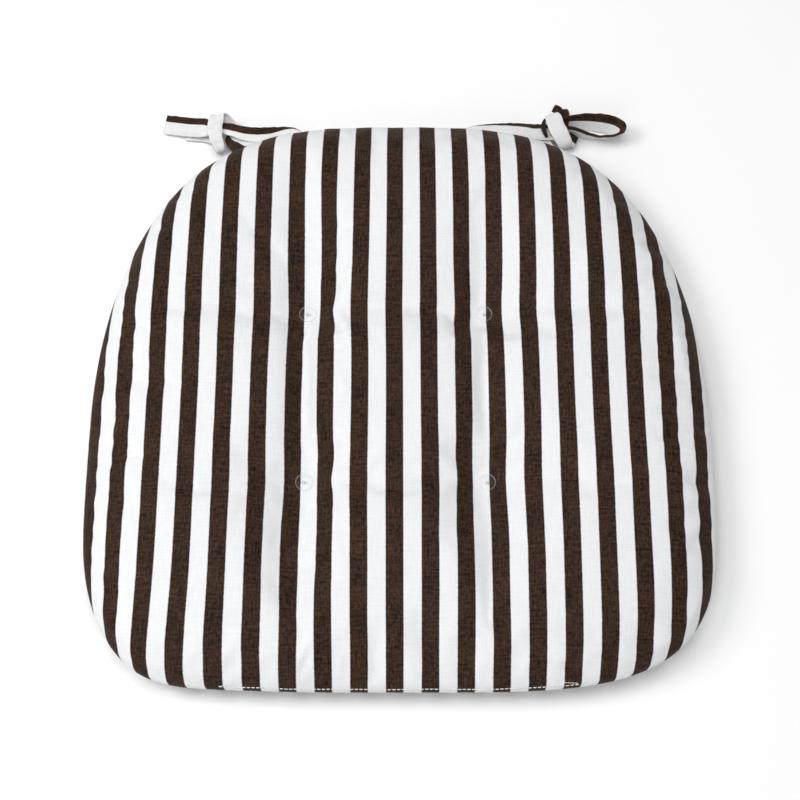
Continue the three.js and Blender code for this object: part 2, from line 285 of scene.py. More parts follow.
def striped_cotton(name, shift=0.0):
    material, tree, shader = new_material(name)
    place, across, along = cloth_place(tree)
    uneven = noise(tree, place, 1, 2, (5, 700, 1))
    wobble = math_node(tree, "MULTIPLY_ADD", uneven, 2 * STRIPE_WOBBLE, -STRIPE_WOBBLE)
    start = STRIPE_CENTRE + shift - STRIPE_PITCH / 2
    stripe = math_node(tree, "SUBTRACT", math_node(tree, "ADD", across, wobble), start)
    stripe = math_node(tree, "FRACT", math_node(tree, "DIVIDE", stripe, STRIPE_PITCH))
    share = band(tree, stripe, 0.5, STRIPE_BROWN / STRIPE_PITCH / 2, STRIPE_SOFT / STRIPE_PITCH)
    colour, height = woven(tree, place, across, along, WHITE, share)
    tree.links.new(colour, shader.inputs["Base Color"])
    bump(tree, shader, height, 0.5, 0.12 * MM)
    cotton(shader)
    return material


TAPE_WIDTH = 16 * MM
TAPE_WHITE = (0.80, 0.80, 0.80)
TAPE_BROWN = 6 * MM  # the brown stripe along a tape's folded edge


def tape_cotton(name):
    material, tree, shader = new_material(name)
    place, across, along = cloth_place(tree)
    share = band(tree, across, TAPE_WIDTH, TAPE_BROWN, 0.25 * MM)
    colour, height = woven(tree, place, across, along, TAPE_WHITE, share)
    creases = noise(tree, place, 260, 3)
    tree.links.new(colour, shader.inputs["Base Color"])
    bump(tree, shader, math_node(tree, "MULTIPLY_ADD", creases, 3.0, height), 0.6, 0.16 * MM)
    cotton(shader)
    return material


def plain_fibre(name, colour, dark, scale, roughness=0.9, relief=0.3):
    """Thread, fleece or foam: a mottled colour over a fine grain."""
    material, tree, shader = new_material(name)
    where = tree.nodes.new("ShaderNodeTexCoord").outputs["Object"]
    mottle = noise(tree, where, scale, 4)
    tree.links.new(mix_colour(tree, mottle, dark, colour), shader.inputs["Base Color"])
    shader.inputs["Roughness"].default_value = roughness
    bump(tree, shader, noise(tree, where, scale * 3, 3), 0.5, relief * MM)
    return material


def clear_plastic(name, alpha, colour):
    material, tree, shader = new_material(name)
    where = tree.nodes.new("ShaderNodeTexCoord").outputs["Object"]
    haze = noise(tree, where, 900, 3)
    shaded = tuple(0.8 * c for c in colour)
    tree.links.new(mix_colour(tree, haze, colour, shaded), shader.inputs["Base Color"])
    tree.links.new(math_node(tree, "MULTIPLY_ADD", haze, 0.12, 0.10), shader.inputs["Roughness"])
    shader.inputs["Alpha"].default_value = alpha
    shader.inputs["IOR"].default_value = 1.49
    bump(tree, shader, haze, 0.15, 0.1 * MM)
    return material


top_cotton = striped_cotton("striped_cotton_upper")
under_cotton = striped_cotton("striped_cotton_under", shift=7 * MM)
tie_cotton = tape_cotton("tie_tape_cotton")
cut_end = plain_fibre("tie_cut_end", (0.80, 0.76, 0.70), (0.52, 0.46, 0.40), 900)
sewing_thread = plain_fibre("sewing_thread", (0.86, 0.84, 0.80), (0.62, 0.58, 0.54), 1400, 0.7, 0.1)
fleece = plain_fibre("polyester_wadding", (0.90, 0.90, 0.89), (0.74, 0.74, 0.73), 350, 0.95, 0.6)
foam = plain_fibre("foam_crumb", (0.80, 0.74, 0.50), (0.62, 0.56, 0.36), 500, 0.9, 0.5)
disc_web = clear_plastic("clear_disc_web", 0.008, (0.80, 0.86, 0.90))
# The rim's paler, less clear tint is partly its thicker plastic and partly painted highlight: it stands in
# for the light that the rim catches, and shows as a light ring on the brown stripes.
disc_rim_glint = clear_plastic("clear_disc_rim", 0.13, (0.84, 0.89, 0.93))

# ---- Tie tapes: [x, y, z, direction of the width x, y, z, width, cloth shown from, to], in mm ----
# They follow the CAD's routes, moved by up to 8 mm round the knots to match the photo. The last two
# numbers say which part of the flat tape shows there, counted from its white edge: a stretch that is
# creased or gathered shows less than the whole tape.
LEFT_INNER = [
    [-44, 186, 18, 0.35, 0.94, 0, 16, 0, 9.5],
    [-64, 195, 18, 0.3, 0.95, 0, 16, 0, 9.5],
    [-73, 199.5, 18, 0.2, 0.98, 0.02, 16, 0, 9.6],
    [-82, 203.6, 17.9, 0.05, 1, 0.05, 16, 0, 11],
    [-96, 204.4, 18, 0.05, 0.98, 0.15, 14, 3, 14.6],
    [-106, 205.4, 17.8, 0.1, 0.98, 0.12, 12, 4.5, 16],
    [-115, 207.8, 15.6, 0.15, 0.97, 0.15, 11, 5, 16],
    [-123, 212, 12.6, 0.3, 0.93, 0.1, 10, 6, 16],
    [-132, 215.6, 10.4, 0.15, 0.99, 0, 9, 7, 16],
    [-141, 216.6, 8.8, 0.1, 0.99, 0, 12, 4, 16],
]
LEFT_TAIL = [
    [-139, 216.4, 9.3, 0.1, 0.99, 0, 11, 4, 16],
    [-147.6, 217.4, 7.7, 0.1, 0.99, 0, 16, 0, 16],
    [-156, 218.8, 5.8, 0.1, 0.99, 0, 16, 0, 16],
    [-166, 220.8, 4.2, 0.05, 1, 0, 16, 0, 16],
    [-177, 222.8, 3.4, 0, 1, 0, 16, 0, 16],
]
LEFT_OUTER = [
    [-109, 190, 17.4, 0.72, 0.69, 0, 16, 5, 16],
    [-114.6, 196, 14.4, 0.68, 0.73, 0, 16, 5, 16],
    [-120.4, 202, 10.4, 0.68, 0.73, 0, 15.5, 5, 16],
    [-124.4, 208.8, 6.4, 0.85, 0.5, 0, 14, 3, 14],
    [-124.8, 215.6, 4.6, 1, 0.1, 0, 11, 0, 10],
    [-128.6, 220.6, 6, 1, 0.2, 0, 10.5, 0, 10],
    [-133.4, 224, 9.4, 0.97, 0.2, 0, 11, 0, 10],
    [-136.6, 224.2, 12.8, 0.98, 0.12, 0, 11.5, 0, 10],
    [-138, 218.5, 13.6, 1, 0.1, 0, 11.5, 0, 10],
    [-138, 210.5, 13.4, 1, 0, 0, 11, 0, 10],
    [-136.2, 203, 11.8, 0.97, 0.2, 0, 9, 0, 10],
    [-133.8, 197.4, 8.4, 0.9, 0.4, 0, 6.8, 0, 10],
    [-134.6, 198.4, 5, 0.9, 0.4, 0, 6, 0, 10],
    [-138.4, 207.6, 3.4, 0.8, 0.6, 0, 6.5, 0, 10],
    [-147, 213.2, 2.2, 0.3, 0.95, 0, 10, 0, 10],
    [-160, 216, 1.6, 0.15, 0.98, 0, 13, 0, 10],
]
RIGHT_INNER = [
    [38, 198, 18, 0.08, 0.99, 0, 16, 0, 10],
    [57, 205.5, 17.8, 0.06, 0.99, -0.1, 16, 0, 10.3],
    [74, 209.6, 16.2, 0, 0.95, -0.3, 16, 0, 12],
    [90, 210.6, 15.3, -0.05, 0.93, -0.35, 16, 0, 14],
    [102, 210.6, 13, -0.08, 0.97, -0.2, 15, 0, 15],
    [112, 211.6, 10.6, 0.05, 1, 0, 13, 0, 14],
    [122, 210.5, 8, 0.2, 0.98, 0, 11, 4, 16],
    [132, 206.5, 4, 0.35, 0.93, 0, 10, 7, 16],
]
RIGHT_OUTER = [
    [112, 177, 17.6, 0.91, -0.4, 0, 16, 0, 9],
    [108, 188, 17.8, 0.91, -0.4, 0, 16, 0, 9],
    [106, 199, 15.6, 0.93, -0.36, 0, 16, 0, 9],
    [106, 205.5, 8.6, 0.96, -0.2, 0, 15, 0, 9],
    [107.5, 213, 4, 1, 0, 0, 12, 0, 9],
    [111.8, 220.5, 4, 1, 0.1, 0, 9, 0, 9],
    [113.4, 224.8, 7.4, 0.96, 0.2, 0, 9, 0, 9],
    [114, 225.6, 12.2, 0.92, 0.35, 0, 10, 0, 9.5],
    [114.6, 222, 15.2, 0.88, 0.47, 0, 12, 0, 9.8],
    [117, 213.5, 15.2, 0.86, 0.5, 0, 13, 0, 9.8],
    [120.8, 206.5, 13, 0.87, 0.48, 0, 12.5, 0, 9.8],
    [123.8, 201.6, 8.4, 0.9, 0.4, 0, 11, 0, 9.8],
    [123.4, 203, 2.6, 0.9, 0.4, 0, 11, 0, 9.8],
]
RIGHT_LOOP = [
    [118, 221, 8.4, 0, 0.1, 0.99, 11, 2, 16],
    [129, 222.8, 8.4, 0, 0.15, 0.99, 13, 2, 16],
    [137, 222.6, 8.4, 0, 0.3, 0.95, 15, 2, 16],
    [149, 221.4, 8.4, 0.1, 0.45, 0.89, 16, 2, 16],
    [157, 219.8, 8.4, 0.22, 0.42, 0.88, 16, 2, 16],
    [162, 217.8, 8.4, 0.4, 0.3, 0.87, 16, 2, 16],
    [164.8, 215.2, 8.4, 0.5, 0.05, 0.87, 16, 2, 16],
    [164.2, 212.4, 8.4, 0.45, -0.2, 0.87, 16, 2, 16],
    [160.4, 210.4, 8.4, 0.3, -0.36, 0.87, 16, 1, 15],
    [155, 209.3, 8.4, 0.15, -0.4, 0.89, 16, 0.5, 14],
    [149, 208.9, 8.4, 0.05, -0.4, 0.92, 16, 0, 13],
    [138, 211, 8.4, 0, -0.2, 0.98, 15, 0, 13],
    [130.5, 214, 8.4, 0, -0.1, 0.99, 13, 0, 13],
    [120, 215.4, 8.4, 0, -0.1, 0.99, 11, 0, 13],
]
RIGHT_FOLD = [  # a fold that stands up from the top of the right knot, not in the CAD
    [122.6, 218.5, 7.6, 0.97, -0.2, 0.2, 6.5, 9.5, 16],
    [124, 223.5, 9.8, 0.97, -0.1, 0.2, 6.5, 9.4, 16],
    [124, 228.6, 10.6, 0.97, 0.15, 0.2, 6.3, 9.3, 16],
    [122.8, 231.6, 9, 0.92, 0.35, 0.1, 6, 9.4, 16],
    [121.8, 231.2, 5.6, 0.92, 0.35, 0, 6, 9.5, 16],
]
RIGHT_END = [
    [120.8, 219.5, 8.6, 0.96, 0.1, 0.25, 6, 10.2, 16],
    [120.6, 225.2, 10.8, 0.92, 0.3, 0.25, 6, 10.2, 16],
    [119.2, 229.8, 11.8, 0.75, 0.6, 0.2, 6.4, 10.2, 16],
    [115.6, 232.4, 11.2, 0.4, 0.9, 0.15, 6.4, 10.2, 16],
]
RIGHT_LAP = [  # a turn of tape along the left side of the right knot, not in the CAD
    [108.6, 221.2, 13, 0.98, -0.1, 0, 1.4, 10.8, 16],
    [107.3, 217, 14, 0.98, -0.1, 0, 3, 10.8, 16],
    [107.5, 211.5, 14.4, 0.97, 0.1, 0, 3.9, 10.8, 16],
    [109.3, 206, 12.8, 0.93, 0.35, 0, 2.4, 10.8, 16],
]


TAPE_STEP = 1.2 * MM


def along_stations(stations):
    """Centres, width directions, widths and the cloth shown, at even steps through the stations."""
    table = np.array(stations, dtype=float)
    knots = table[:, :3] * MM
    chord = np.concatenate([[0], np.cumsum(np.linalg.norm(np.diff(knots, axis=0), axis=1))])
    slope = np.gradient(knots, chord, axis=0)
    place = np.linspace(0, chord[-1], max(8, int(chord[-1] / TAPE_STEP)))
    left = np.clip(np.searchsorted(chord, place, side="right") - 1, 0, len(chord) - 2)
    span = (chord[left + 1] - chord[left])[:, None]
    t = (place - chord[left])[:, None] / span
    centres = ((1 + 2 * t) * (1 - t) ** 2 * knots[left] + t * (1 - t) ** 2 * span * slope[left]
               + t * t * (3 - 2 * t) * knots[left + 1] + t * t * (t - 1) * span * slope[left + 1])
    sides = np.stack([np.interp(place, chord, table[:, k]) for k in (3, 4, 5)], axis=1)
    widths, shown_from, shown_to = (np.interp(place, chord, table[:, k]) * MM for k in (6, 7, 8))
    return centres, sides, widths, shown_from, shown_to


TAPE_HALF_THICK = 0.95 * MM
SECTION_SIDES = 22
EDGE_STITCH_IN = 1.9 * MM  # the tape's stitch line, in from its white edge
STITCH_LENGTH = 2.6 * MM
STITCH_GAP = 0.6 * MM
STITCH_RADIUS = 0.22 * MM
# Along one stitch: the share of its length, then the thread's half thickness and its height in radii
STITCH_SHAPE = ((0, 0.35, -0.9), (0.14, 0.9, 0.3), (0.5, 1.0, 0.6), (0.86, 0.9, 0.3), (1, 0.35, -0.9))


def capsule(start, end, lift, radius, sides=6):
    """Points and faces of one stitch: a short thread that dips into the cloth at both ends."""
    axis = unit(end - start)
    side = unit(np.cross(axis, lift))
    points = []
    for t, swell, rise in STITCH_SHAPE:
        centre = start + (end - start) * t + lift * rise * radius
        for k in range(sides):
            turn = 2 * math.pi * k / sides
            points.append(centre + swell * radius * (math.cos(turn) * side + math.sin(turn) * lift))
    rings = len(STITCH_SHAPE)
    return points, end_faces(rings, sides) + ring_faces(rings, sides)


def tape_lift(run, reach, widths, seed, crumple):
    """How far a tape's middle stands off its route: small creases, and a fold where it narrows."""
    sway = ripple(run + 7 * MM * reach, 11 * MM, seed) * 0.6 * crumple
    sway += ripple(run - 4 * MM * reach, 5.5 * MM, seed + 3) * 0.4 * crumple
    return sway + (1 - widths / TAPE_WIDTH) * 0.8 * MM * math.cos(4.2 * reach)


def tape_piece(name, stations, brown_side, seed, crumple=0.25 * MM):
    """brown_side is 1 where the brown edge lies on the side that the width's direction points to, else -1.
    """
    centres, sides, widths, shown_from, shown_to = along_stations(stations)
    tangents = unit(np.gradient(centres, axis=0))
    across = unit(sides - (sides * tangents).sum(1, keepdims=True) * tangents)
    facing = np.cross(across, tangents)
    run = np.concatenate([[0], np.cumsum(np.linalg.norm(np.diff(centres, axis=0), axis=1))])
    points, uv = [], []
    for k in range(SECTION_SIDES):
        turn = 2 * math.pi * k / SECTION_SIDES
        reach = math.copysign(abs(math.cos(turn)) ** 0.55, math.cos(turn))
        deep = math.copysign(abs(math.sin(turn)) ** 0.5, math.sin(turn))
        ridge = 1 + 0.12 * abs(reach) ** 6 - 0.25 * math.exp(-((reach * brown_side + 0.76) / 0.1) ** 2)
        edge_wave = ripple(run, 9 * MM, seed + 5 + (reach > 0)) * 0.25 * MM * abs(reach) ** 3
        out = reach * widths / 2 + edge_wave
        up = deep * ridge * TAPE_HALF_THICK + tape_lift(run, reach, widths, seed, crumple)
        points.append(centres + across * out[:, None] + facing * up[:, None])
        u = shown_from + (shown_to - shown_from) * (0.5 + 0.5 * reach * brown_side)
        uv.append(np.stack([u, run + 0.3 * seed], axis=1))
    count = len(centres)
    faces = ring_faces(count, SECTION_SIDES)
    slots = [0] * len(faces) + [1, 1]
    faces += end_faces(count, SECTION_SIDES)
    points = list(np.stack(points, axis=1).reshape(-1, 3))
    uv = list(np.stack(uv, axis=1).reshape(-1, 2))

    def stitch_end(at, face):
        i = min(int(np.searchsorted(run, at)), count - 1)
        line = -brown_side * (widths[i] / 2 - EDGE_STITCH_IN)
        lift = tape_lift(run[i], 2 * line / widths[i], widths[i], seed, crumple)
        return centres[i] + across[i] * line + facing[i] * (0.86 * face * TAPE_HALF_THICK + lift), i

    for place in np.arange(3 * MM, run[-1] - STITCH_LENGTH - 1.5 * MM, STITCH_LENGTH + STITCH_GAP):
        if np.interp(place, run, shown_from) > 1 * MM:
            continue  # the tape's stitched edge is folded out of sight here
        for face in (1, -1):
            start, i = stitch_end(place, face)
            end, _ = stitch_end(place + STITCH_LENGTH, face)
            stitch, stitch_faces = capsule(start, end, face * facing[i], STITCH_RADIUS)
            base = len(points)
            points += stitch
            uv += [(0, 0)] * len(stitch)
            faces += [[base + v for v in f] for f in stitch_faces]
            slots += [2] * len(stitch_faces)
    piece = mesh_piece(name, points, faces, [tie_cotton, cut_end, sewing_thread],
                       corner_uv=uv, face_slots=slots)
    return piece, centres, float(run[-1])


def seam_blend(piece):
    """Bakes the tape's placement into its points."""
    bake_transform(piece)


left_inner, left_inner_route, left_inner_length = tape_piece("tie_left_inner_tape", LEFT_INNER, 1, 11)
left_tail, _, _ = tape_piece("tie_left_tail_tape", LEFT_TAIL, 1, 11)
left_outer, left_outer_route, left_outer_length = tape_piece("tie_left_outer_tape", LEFT_OUTER, -1, 23)
right_inner, right_inner_route, right_inner_length = tape_piece("tie_right_inner_tape", RIGHT_INNER, 1, 37)
right_outer, right_outer_route, right_outer_length = tape_piece("tie_right_outer_tape", RIGHT_OUTER, -1, 43)
right_loop, right_loop_route, right_loop_length = tape_piece("tie_right_loop_tape", RIGHT_LOOP, 1, 59)
right_end, _, _ = tape_piece("tie_right_end_tape", RIGHT_END, -1, 61)
right_fold, _, _ = tape_piece("tie_right_fold_tape", RIGHT_FOLD, 1, 67, 0.1 * MM)
right_lap, _, _ = tape_piece("tie_right_lap_tape", RIGHT_LAP, 1, 71, 0.1 * MM)

for piece, node in ((left_inner, "tie_left_inner"), (left_tail, "tie_left_tail"),
                    (left_outer, "tie_left_outer"), (right_inner, "tie_right_inner"),
                    (right_outer, "tie_right_outer"), (right_loop, "tie_right_loop"),
                    (right_end, "tie_right_end")):
    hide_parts(node)

seam_blend(left_inner)
seam_blend(left_outer)
seam_blend(right_inner)
seam_blend(right_outer)
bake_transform(left_tail)
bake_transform(right_loop)
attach(right_end, "tie_right")
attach(right_fold, "tie_right")
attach(right_lap, "tie_right")

# ---- The cover's surface: a crowned pad pulled down at its tufts ----
MOST_INSET = 150 * MM


def outline_point(turn, inset):
    """A point of the seam line, or of the line that lies the inset further in."""
    side, depth = math.cos(turn), math.sin(turn)
    across, along = ROUND_BACK if depth >= 0 else ROUND_FRONT
    reach = REACH_BACK if depth >= 0 else REACH_FRONT
    return (math.copysign(abs(side) ** (2 / across), side) * (HALF_WIDTH - inset),
            math.copysign(abs(depth) ** (2 / along), depth) * (reach - inset) + CENTRE_Y)


def inset_of(x, y):
    """How far each point lies in from the seam line."""
    depth = y - CENTRE_Y
    back = depth >= 0
    across = np.where(back, ROUND_BACK[0], ROUND_FRONT[0])
    along = np.where(back, ROUND_BACK[1], ROUND_FRONT[1])
    reach = np.where(back, REACH_BACK, REACH_FRONT)
    low, high = np.full_like(x, -10 * MM), np.full_like(x, MOST_INSET)
    for _ in range(30):
        inset = (low + high) / 2
        level = np.abs(x / (HALF_WIDTH - inset)) ** across + np.abs(depth / (reach - inset)) ** along
        high = np.where(level > 1, inset, high)
        low = np.where(level > 1, low, inset)
    return np.maximum((low + high) / 2, 0)


def roll(distance, run, fullness):
    """A rounded rise from 0 at the seam to 1 at the end of the run."""
    return (1 - (1 - np.minimum(distance / run, 1)) ** fullness) ** (1 / fullness)


def hollow(across, along, centre, start, end, width, depth):
    """A long soft valley that runs along one axis and fades at both ends."""
    fade = 1 / (1 + np.exp(-(along - start) / VALLEY_FADE)) / (1 + np.exp((along - end) / VALLEY_FADE))
    return depth * fade * np.exp(-((across - centre) / width) ** 2)


LEFT_X, RIGHT_X = TUFTS["front_left"][0], TUFTS["front_right"][0]
FRONT_Y, REAR_Y = TUFTS["front_left"][1], TUFTS["rear_left"][1]
VALLEY_FADE = 9 * MM
VALLEY_EDGE = 60 * MM  # the valleys reach their full depth this far in from the seam
CREASE_HEIGHT = 0.4 * MM
CREASE_RING, CREASE_SPREAD = 14 * MM, 8 * MM  # how far from a tuft its creases are highest, and fade
TOP_DIMPLE = ((0.62, 9 * MM, 1.5), (0.38, 24 * MM, 2))  # a narrow and a wide one: share, reach, power
UNDER_DIMPLE = (11 * MM, 1.6)


def tuft_distance(x, y, at):
    return np.hypot(x - at[0], y - at[1])


def upper_crown(x, y):
    """The top panel's height without valleys or tufts, before it is swollen."""
    return SEAM_Z + (CROWN_Z - CROWN_SHORT - SEAM_Z) * roll(inset_of(x, y), TOP_RUN, TOP_FULLNESS)


def valleys(x, y):
    """Soft furrows along the two columns and the two rows of tufts."""
    depth = hollow(x, y, LEFT_X - 1 * MM, -150 * MM, 125 * MM, 13 * MM, 6 * MM)
    depth += hollow(x, y, RIGHT_X, -140 * MM, 115 * MM, 12 * MM, 3.2 * MM)
    depth += hollow(y, x, REAR_Y, -150 * MM, 130 * MM, 12 * MM, 1.5 * MM)
    depth += hollow(y, x, FRONT_Y, -150 * MM, 140 * MM, 12 * MM, 1.2 * MM)
    return depth * np.clip(inset_of(x, y) / VALLEY_EDGE, 0, 1)


def tuft_creases(x, y):
    """Small creases that fan out from each tuft, where the gathered cloth has no room to lie flat."""
    total = 0
    for number, at in enumerate(TUFTS.values()):
        angle = np.arctan2(y - at[1], x - at[0])
        near = np.exp(-((tuft_distance(x, y, at) - CREASE_RING) / CREASE_SPREAD) ** 2)
        total = total + near * (np.cos(6 * angle + 1.7 * number) + 0.5 * np.cos(3 * angle - number))
    return CREASE_HEIGHT * total


def upper_height(x, y):
    """The crown with soft valleys along the rows of tufts and a dimple at each tuft."""
    z = upper_crown(x, y) - valleys(x, y)
    floor_z = DISC_TOP_Z - DISC_GAP
    for at in TUFTS.values():
        r = np.maximum(tuft_distance(x, y, at) - DISC_SEAT, 0)
        near = sum(share * np.exp(-(r / reach) ** power) for share, reach, power in TOP_DIMPLE)
        z = z + (floor_z - z) * near
    return z


def lower_crown(x, y):
    """The under panel's height without tufts, before it is swollen."""
    return SEAM_Z - (SEAM_Z - UNDER_CLEAR) * roll(inset_of(x, y), BOTTOM_RUN, BOTTOM_FULLNESS)


def lower_height(x, y):
    """The under panel with a dimple at each tuft."""
    z = lower_crown(x, y)
    ceiling_z = DISC_UNDER_Z + DISC_GAP
    reach, power = UNDER_DIMPLE
    for at in TUFTS.values():
        r = np.maximum(tuft_distance(x, y, at) - DISC_SEAT, 0)
        z = z + (ceiling_z - z) * np.exp(-(r / reach) ** power)
    return z


STEEPEST = 3.5  # the most cloth that one step over the plan takes up, in steps


def flat_place(x, y, height):
    """Where each point of the surface lies on its flat piece of cloth, from lengths over the surface."""
    step = 1 * MM
    xs = np.arange(-HALF_WIDTH - 5 * MM, HALF_WIDTH + 6 * MM, step)
    ys = np.arange(CENTRE_Y - REACH_FRONT - 5 * MM, CENTRE_Y + REACH_BACK + 6 * MM, step)
    grid_x, grid_y = np.meshgrid(xs, ys)
    z = height(grid_x, grid_y)
    origin_x, origin_y = np.searchsorted(xs, 0), np.searchsorted(ys, CENTRE_Y)

    def lengths(axis, origin, start):
        rise = np.diff(z, axis=axis)
        stretch = np.minimum(np.hypot(step, rise), STEEPEST * step)
        border = [(1, 0), (0, 0)] if axis == 0 else [(0, 0), (1, 0)]
        total = np.pad(np.cumsum(stretch, axis=axis), border)
        return total - np.take(total, [origin], axis=axis) + start

    u = lengths(1, origin_x, xs[origin_x])
    v = lengths(0, origin_y, ys[origin_y])
    column, row = (x - xs[0]) / step, (y - ys[0]) / step
    i, j = column.astype(int), row.astype(int)
    a, b = column - i, row - j

    def sample(field):
        return ((1 - a) * (1 - b) * field[j, i] + a * (1 - b) * field[j, i + 1]
                + (1 - a) * b * field[j + 1, i] + a * b * field[j + 1, i + 1])

    return np.stack([sample(u), sample(v)], axis=1)


DRAWN_SHARE = 0.075
DRAWN_REACH = 30 * MM


def drawn_in(place, x, y):
    """The cloth round each tuft is drawn in towards it, which bends the stripes that pass it."""
    for at in TUFTS.values():
        away = np.stack([x, y], axis=1) - at
        reach = np.linalg.norm(away, axis=1, keepdims=True)
        place = place + DRAWN_SHARE * away * np.exp(-(reach / DRAWN_REACH) ** 2)
    return place


RIM_POINTS = 336
RIM_INSETS = [v * MM for v in (0, 0.15, 0.6, 1.5, 3.5, 7, 11)]
CELL = 4.8 * MM  # size of the triangles between the rim and the middle


def even_turns():
    """Turns that step evenly along the seam line, and the line's length."""
    fine = np.linspace(0, 2 * math.pi, 20001)
    line = np.array([outline_point(t, 0) for t in fine])
    run = np.concatenate([[0], np.cumsum(np.linalg.norm(np.diff(line, axis=0), axis=1))])
    return np.interp(np.arange(RIM_POINTS) / RIM_POINTS * run[-1], run, fine), run[-1]


def panel_plan():
    """The plan of one cover panel, its points and faces: rings along the rim, triangles inside them."""
    turns, _ = even_turns()
    rings = [np.array([outline_point(t, inset) for t in turns]) for inset in RIM_INSETS]
    faces = ring_faces(len(rings), RIM_POINTS)
    rows = np.arange(-REACH_BACK, REACH_BACK, CELL * math.sqrt(3) / 2)
    grid = np.array([(x + (CELL / 2 if n % 2 else 0), y + CENTRE_Y)
                     for n, y in enumerate(rows) for x in np.arange(-HALF_WIDTH, HALF_WIDTH, CELL)])
    grid = grid[inset_of(grid[:, 0], grid[:, 1]) > RIM_INSETS[-1] + 0.6 * CELL]
    flat = [Vector(p / MM) for p in np.concatenate([rings[-1], grid])]
    found = delaunay_2d_cdt(flat, [], [list(range(RIM_POINTS))], 1, 1e-6)
    source = [origin[0] for origin in found[3]]
    base = (len(rings) - 1) * RIM_POINTS
    faces += [[base + source[v] for v in face] for face in found[2]]
    return np.concatenate(rings + [grid]), faces


plan, plan_faces = panel_plan()
plan_x, plan_y = plan[:, 0], plan[:, 1]
plan_inset = inset_of(plan_x, plan_y)
seam_length = even_turns()[1]
rim_run = np.arctan2((plan_y - CENTRE_Y) / REACH_BACK, plan_x / HALF_WIDTH) / (2 * math.pi) * seam_length
PUCKER_HEIGHT = 0.55 * MM
PUCKER_REACH = 9 * MM


def pucker(position, near, seed):
    """Small gathers of the cloth along the seam, that fade inward."""
    return (ripple(position, 21 * MM, seed) + 0.6 * ripple(position, 9 * MM, seed + 1)) * near


plan_creases = tuft_creases(plan_x, plan_y)
near_seam = np.exp(-plan_inset / PUCKER_REACH) * np.clip(plan_inset / (1.2 * MM), 0, 1)
upper_z = upper_height(plan_x, plan_y) + PUCKER_HEIGHT * pucker(rim_run, near_seam, SEED)
lower_z = lower_height(plan_x, plan_y) + PUCKER_HEIGHT * pucker(rim_run, near_seam, SEED + 7)
upper_uv = drawn_in(flat_place(plan_x, plan_y, upper_crown), plan_x, plan_y)
lower_uv = drawn_in(flat_place(plan_x, plan_y, lower_crown), plan_x, plan_y)


def closed_cover():
    """Both panels as one closed surface that shares the seam ring."""
    ring = RIM_POINTS
    upper = np.stack([plan_x, plan_y, upper_z], axis=1)
    lower = np.stack([plan_x, plan_y, lower_z], axis=1)[ring:]
    shift = len(upper) - ring
    faces = [list(f) for f in plan_faces]
    faces += [[v if v < ring else v + shift for v in reversed(f)] for f in plan_faces]
    return np.concatenate([upper, lower]), faces


SWELL_FRAMES = 20
SWELL_PRESSURE = 3.5
MOST_SWELL = 5 * MM


def inflate(points, faces, pinned):
    """Cloth simulation: the filling's pressure swells the cover between its seam and its tufts."""
    piece = mesh_piece("cloth_work", points, faces, [])
    group = piece.vertex_groups.new(name="held")
    group.add([int(i) for i in np.flatnonzero(pinned)], 1.0, "REPLACE")
    cloth = piece.modifiers.new("Fill", "CLOTH")
    settings = cloth.settings
    settings.quality = 7
    settings.mass = 0.25
    settings.tension_stiffness = 25
    settings.compression_stiffness = 20
    settings.shear_stiffness = 8
    settings.bending_stiffness = 1.5
    settings.air_damping = 2
    settings.vertex_group_mass = "held"
    settings.shrink_min = -0.02
    settings.use_pressure = True
    settings.uniform_pressure_force = SWELL_PRESSURE
    settings.effector_weights.gravity = 0
    cloth.collision_settings.use_collision = False
    cloth.point_cache.frame_start = 1
    cloth.point_cache.frame_end = SWELL_FRAMES
    for step in range(1, SWELL_FRAMES + 1):
        bpy.context.scene.frame_set(step)
    shaped = piece.evaluated_get(bpy.context.evaluated_depsgraph_get())
    moved = np.zeros(len(points) * 3)
    shaped.data.vertices.foreach_get("co", moved)
    moved = moved.reshape(-1, 3) - points
    bpy.data.objects.remove(piece)
    bpy.context.scene.frame_set(1)
    far = np.linalg.norm(moved, axis=1, keepdims=True)
    return points + moved * np.minimum(1, MOST_SWELL / np.maximum(far, 1e-9))


LATE_VALLEY = 0.6  # share of the valleys' depth that is drawn down again after the swelling
SEAT_REACH = 16 * MM  # the tufts' seats keep their height this far out
SEAM_HELD = 4 * MM  # the simulation holds the cloth still this near the seam
LOWEST = 0.4 * MM  # the under panel stays this far above the floor
cover_points, cover_faces = closed_cover()
nearest_tuft = np.min([tuft_distance(plan_x, plan_y, at) for at in TUFTS.values()], axis=0)
held = (nearest_tuft < DISC_SEAT + 0.5 * MM) | (plan_inset < SEAM_HELD)
held = np.concatenate([held, held[RIM_POINTS:]])
cover_points = inflate(cover_points, cover_faces, held)

upper_points = cover_points[:len(plan)]
seat_share = np.exp(-(nearest_tuft / SEAT_REACH) ** 4)
upper_points[:, 2] += (plan_creases - LATE_VALLEY * valleys(plan_x, plan_y)) * (1 - seat_share)
lower_points = np.concatenate([cover_points[:RIM_POINTS], cover_points[len(plan):]])
lower_points[:, 2] = np.maximum(lower_points[:, 2], LOWEST)

# The sewn outline is fuller at the front left corner.
FULL_CORNER = np.array([-160, -200]) * MM
FULL_SPREAD = 42 * MM
FULL_BY = 7 * MM
for panel_points in (upper_points, lower_points):
    near_corner = np.exp(-(np.linalg.norm(panel_points[:, :2] - FULL_CORNER, axis=1) / FULL_SPREAD) ** 2)
    panel_points[:, :2] += FULL_BY * near_corner[:, None] * unit(FULL_CORNER - (0, CENTRE_Y))


def panel(name, points, faces, material, uv, node):
    """One cover panel, smoothed once, that stands for its CAD node."""
    piece = mesh_piece(name, points, faces, [material], corner_uv=uv)
    smoother = piece.modifiers.new("Smooth", "SUBSURF")
    smoother.levels = smoother.render_levels = 1
    smoother.uv_smooth = "PRESERVE_BOUNDARIES"
    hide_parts(node)
    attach(piece, "pad")
    return piece


